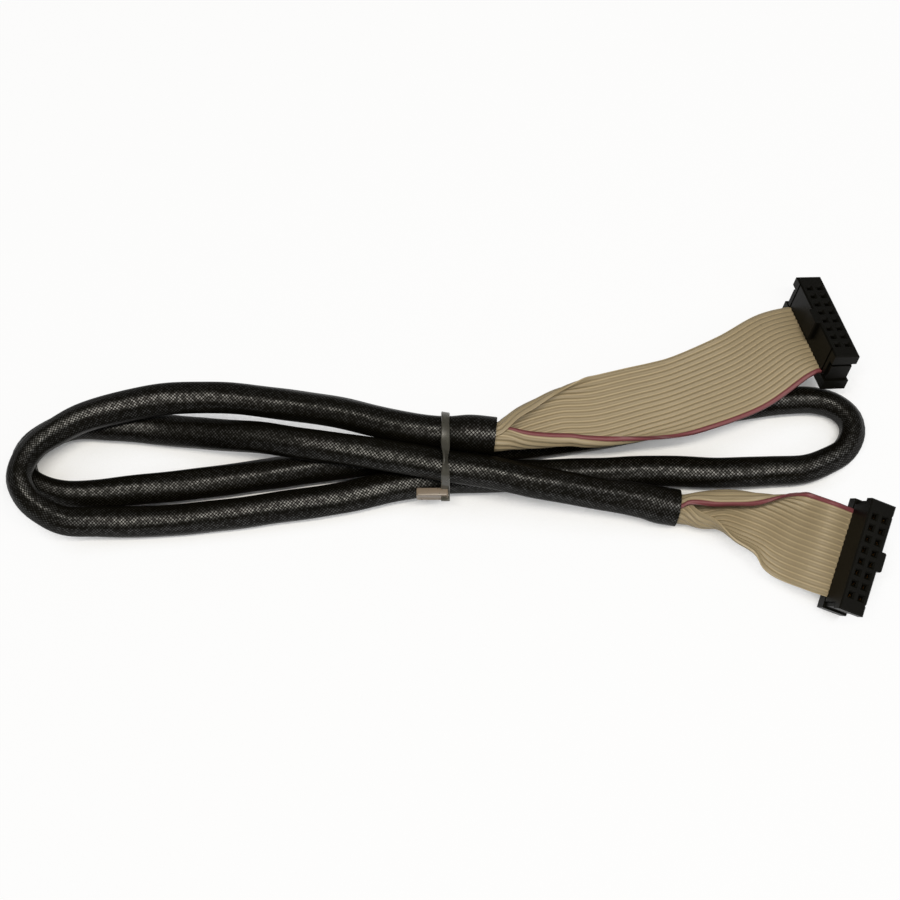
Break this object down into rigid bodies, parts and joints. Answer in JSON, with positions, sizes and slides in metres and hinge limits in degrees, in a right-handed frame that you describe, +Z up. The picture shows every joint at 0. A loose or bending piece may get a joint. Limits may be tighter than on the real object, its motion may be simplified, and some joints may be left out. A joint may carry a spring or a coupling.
{
  "type": "ribbon cable",
  "caption": "Flat ribbon cable rolled in a black woven sleeve, folded into a tied hank, with a two-row insulation displacement socket on each end.",
  "frame": {"origin": "on the ground under the middle of the outline of the whole hank", "axes": "+X along the hank towards the sockets, +Y away from the viewer of the picture, +Z up from the surface that the hank lies on"},
  "size_m": [0.1946, 0.0812, 0.0186],
  "materials": {
    "ribbon": "ribbed grey-beige vinyl with one pink-red edge conductor",
    "sleeve": "fine tight weave of glossy black filament",
    "tie": "clear to milky moulded nylon",
    "socket": "black glass-filled moulding, slightly satin",
    "contact": "gold-plated spring metal"
  },
  "bodies": {
    "root": {"ribbon_a": "ribbon", "ribbon_roll": "ribbon", "ribbon_b": "ribbon", "sleeve": "sleeve", "cable_tie": "tie", "housing_a": "socket", "cover_a": "socket", "housing_b": "socket", "cover_b": "socket", "contact_a_1": "contact", "contact_a_2": "contact", "contact_a_3": "contact", "contact_a_4": "contact", "contact_a_5": "contact", "contact_a_6": "contact", "contact_a_7": "contact", "contact_a_8": "contact", "contact_a_9": "contact", "contact_a_10": "contact", "contact_a_11": "contact", "contact_a_12": "contact", "contact_a_13": "contact", "contact_a_14": "contact", "contact_a_15": "contact", "contact_a_16": "contact", "contact_b_1": "contact", "contact_b_2": "contact", "contact_b_3": "contact", "contact_b_4": "contact", "contact_b_5": "contact", "contact_b_6": "contact", "contact_b_7": "contact", "contact_b_8": "contact", "contact_b_9": "contact", "contact_b_10": "contact", "contact_b_11": "contact", "contact_b_12": "contact", "contact_b_13": "contact", "contact_b_14": "contact", "contact_b_15": "contact", "contact_b_16": "contact"}
  },
  "joints": []
}
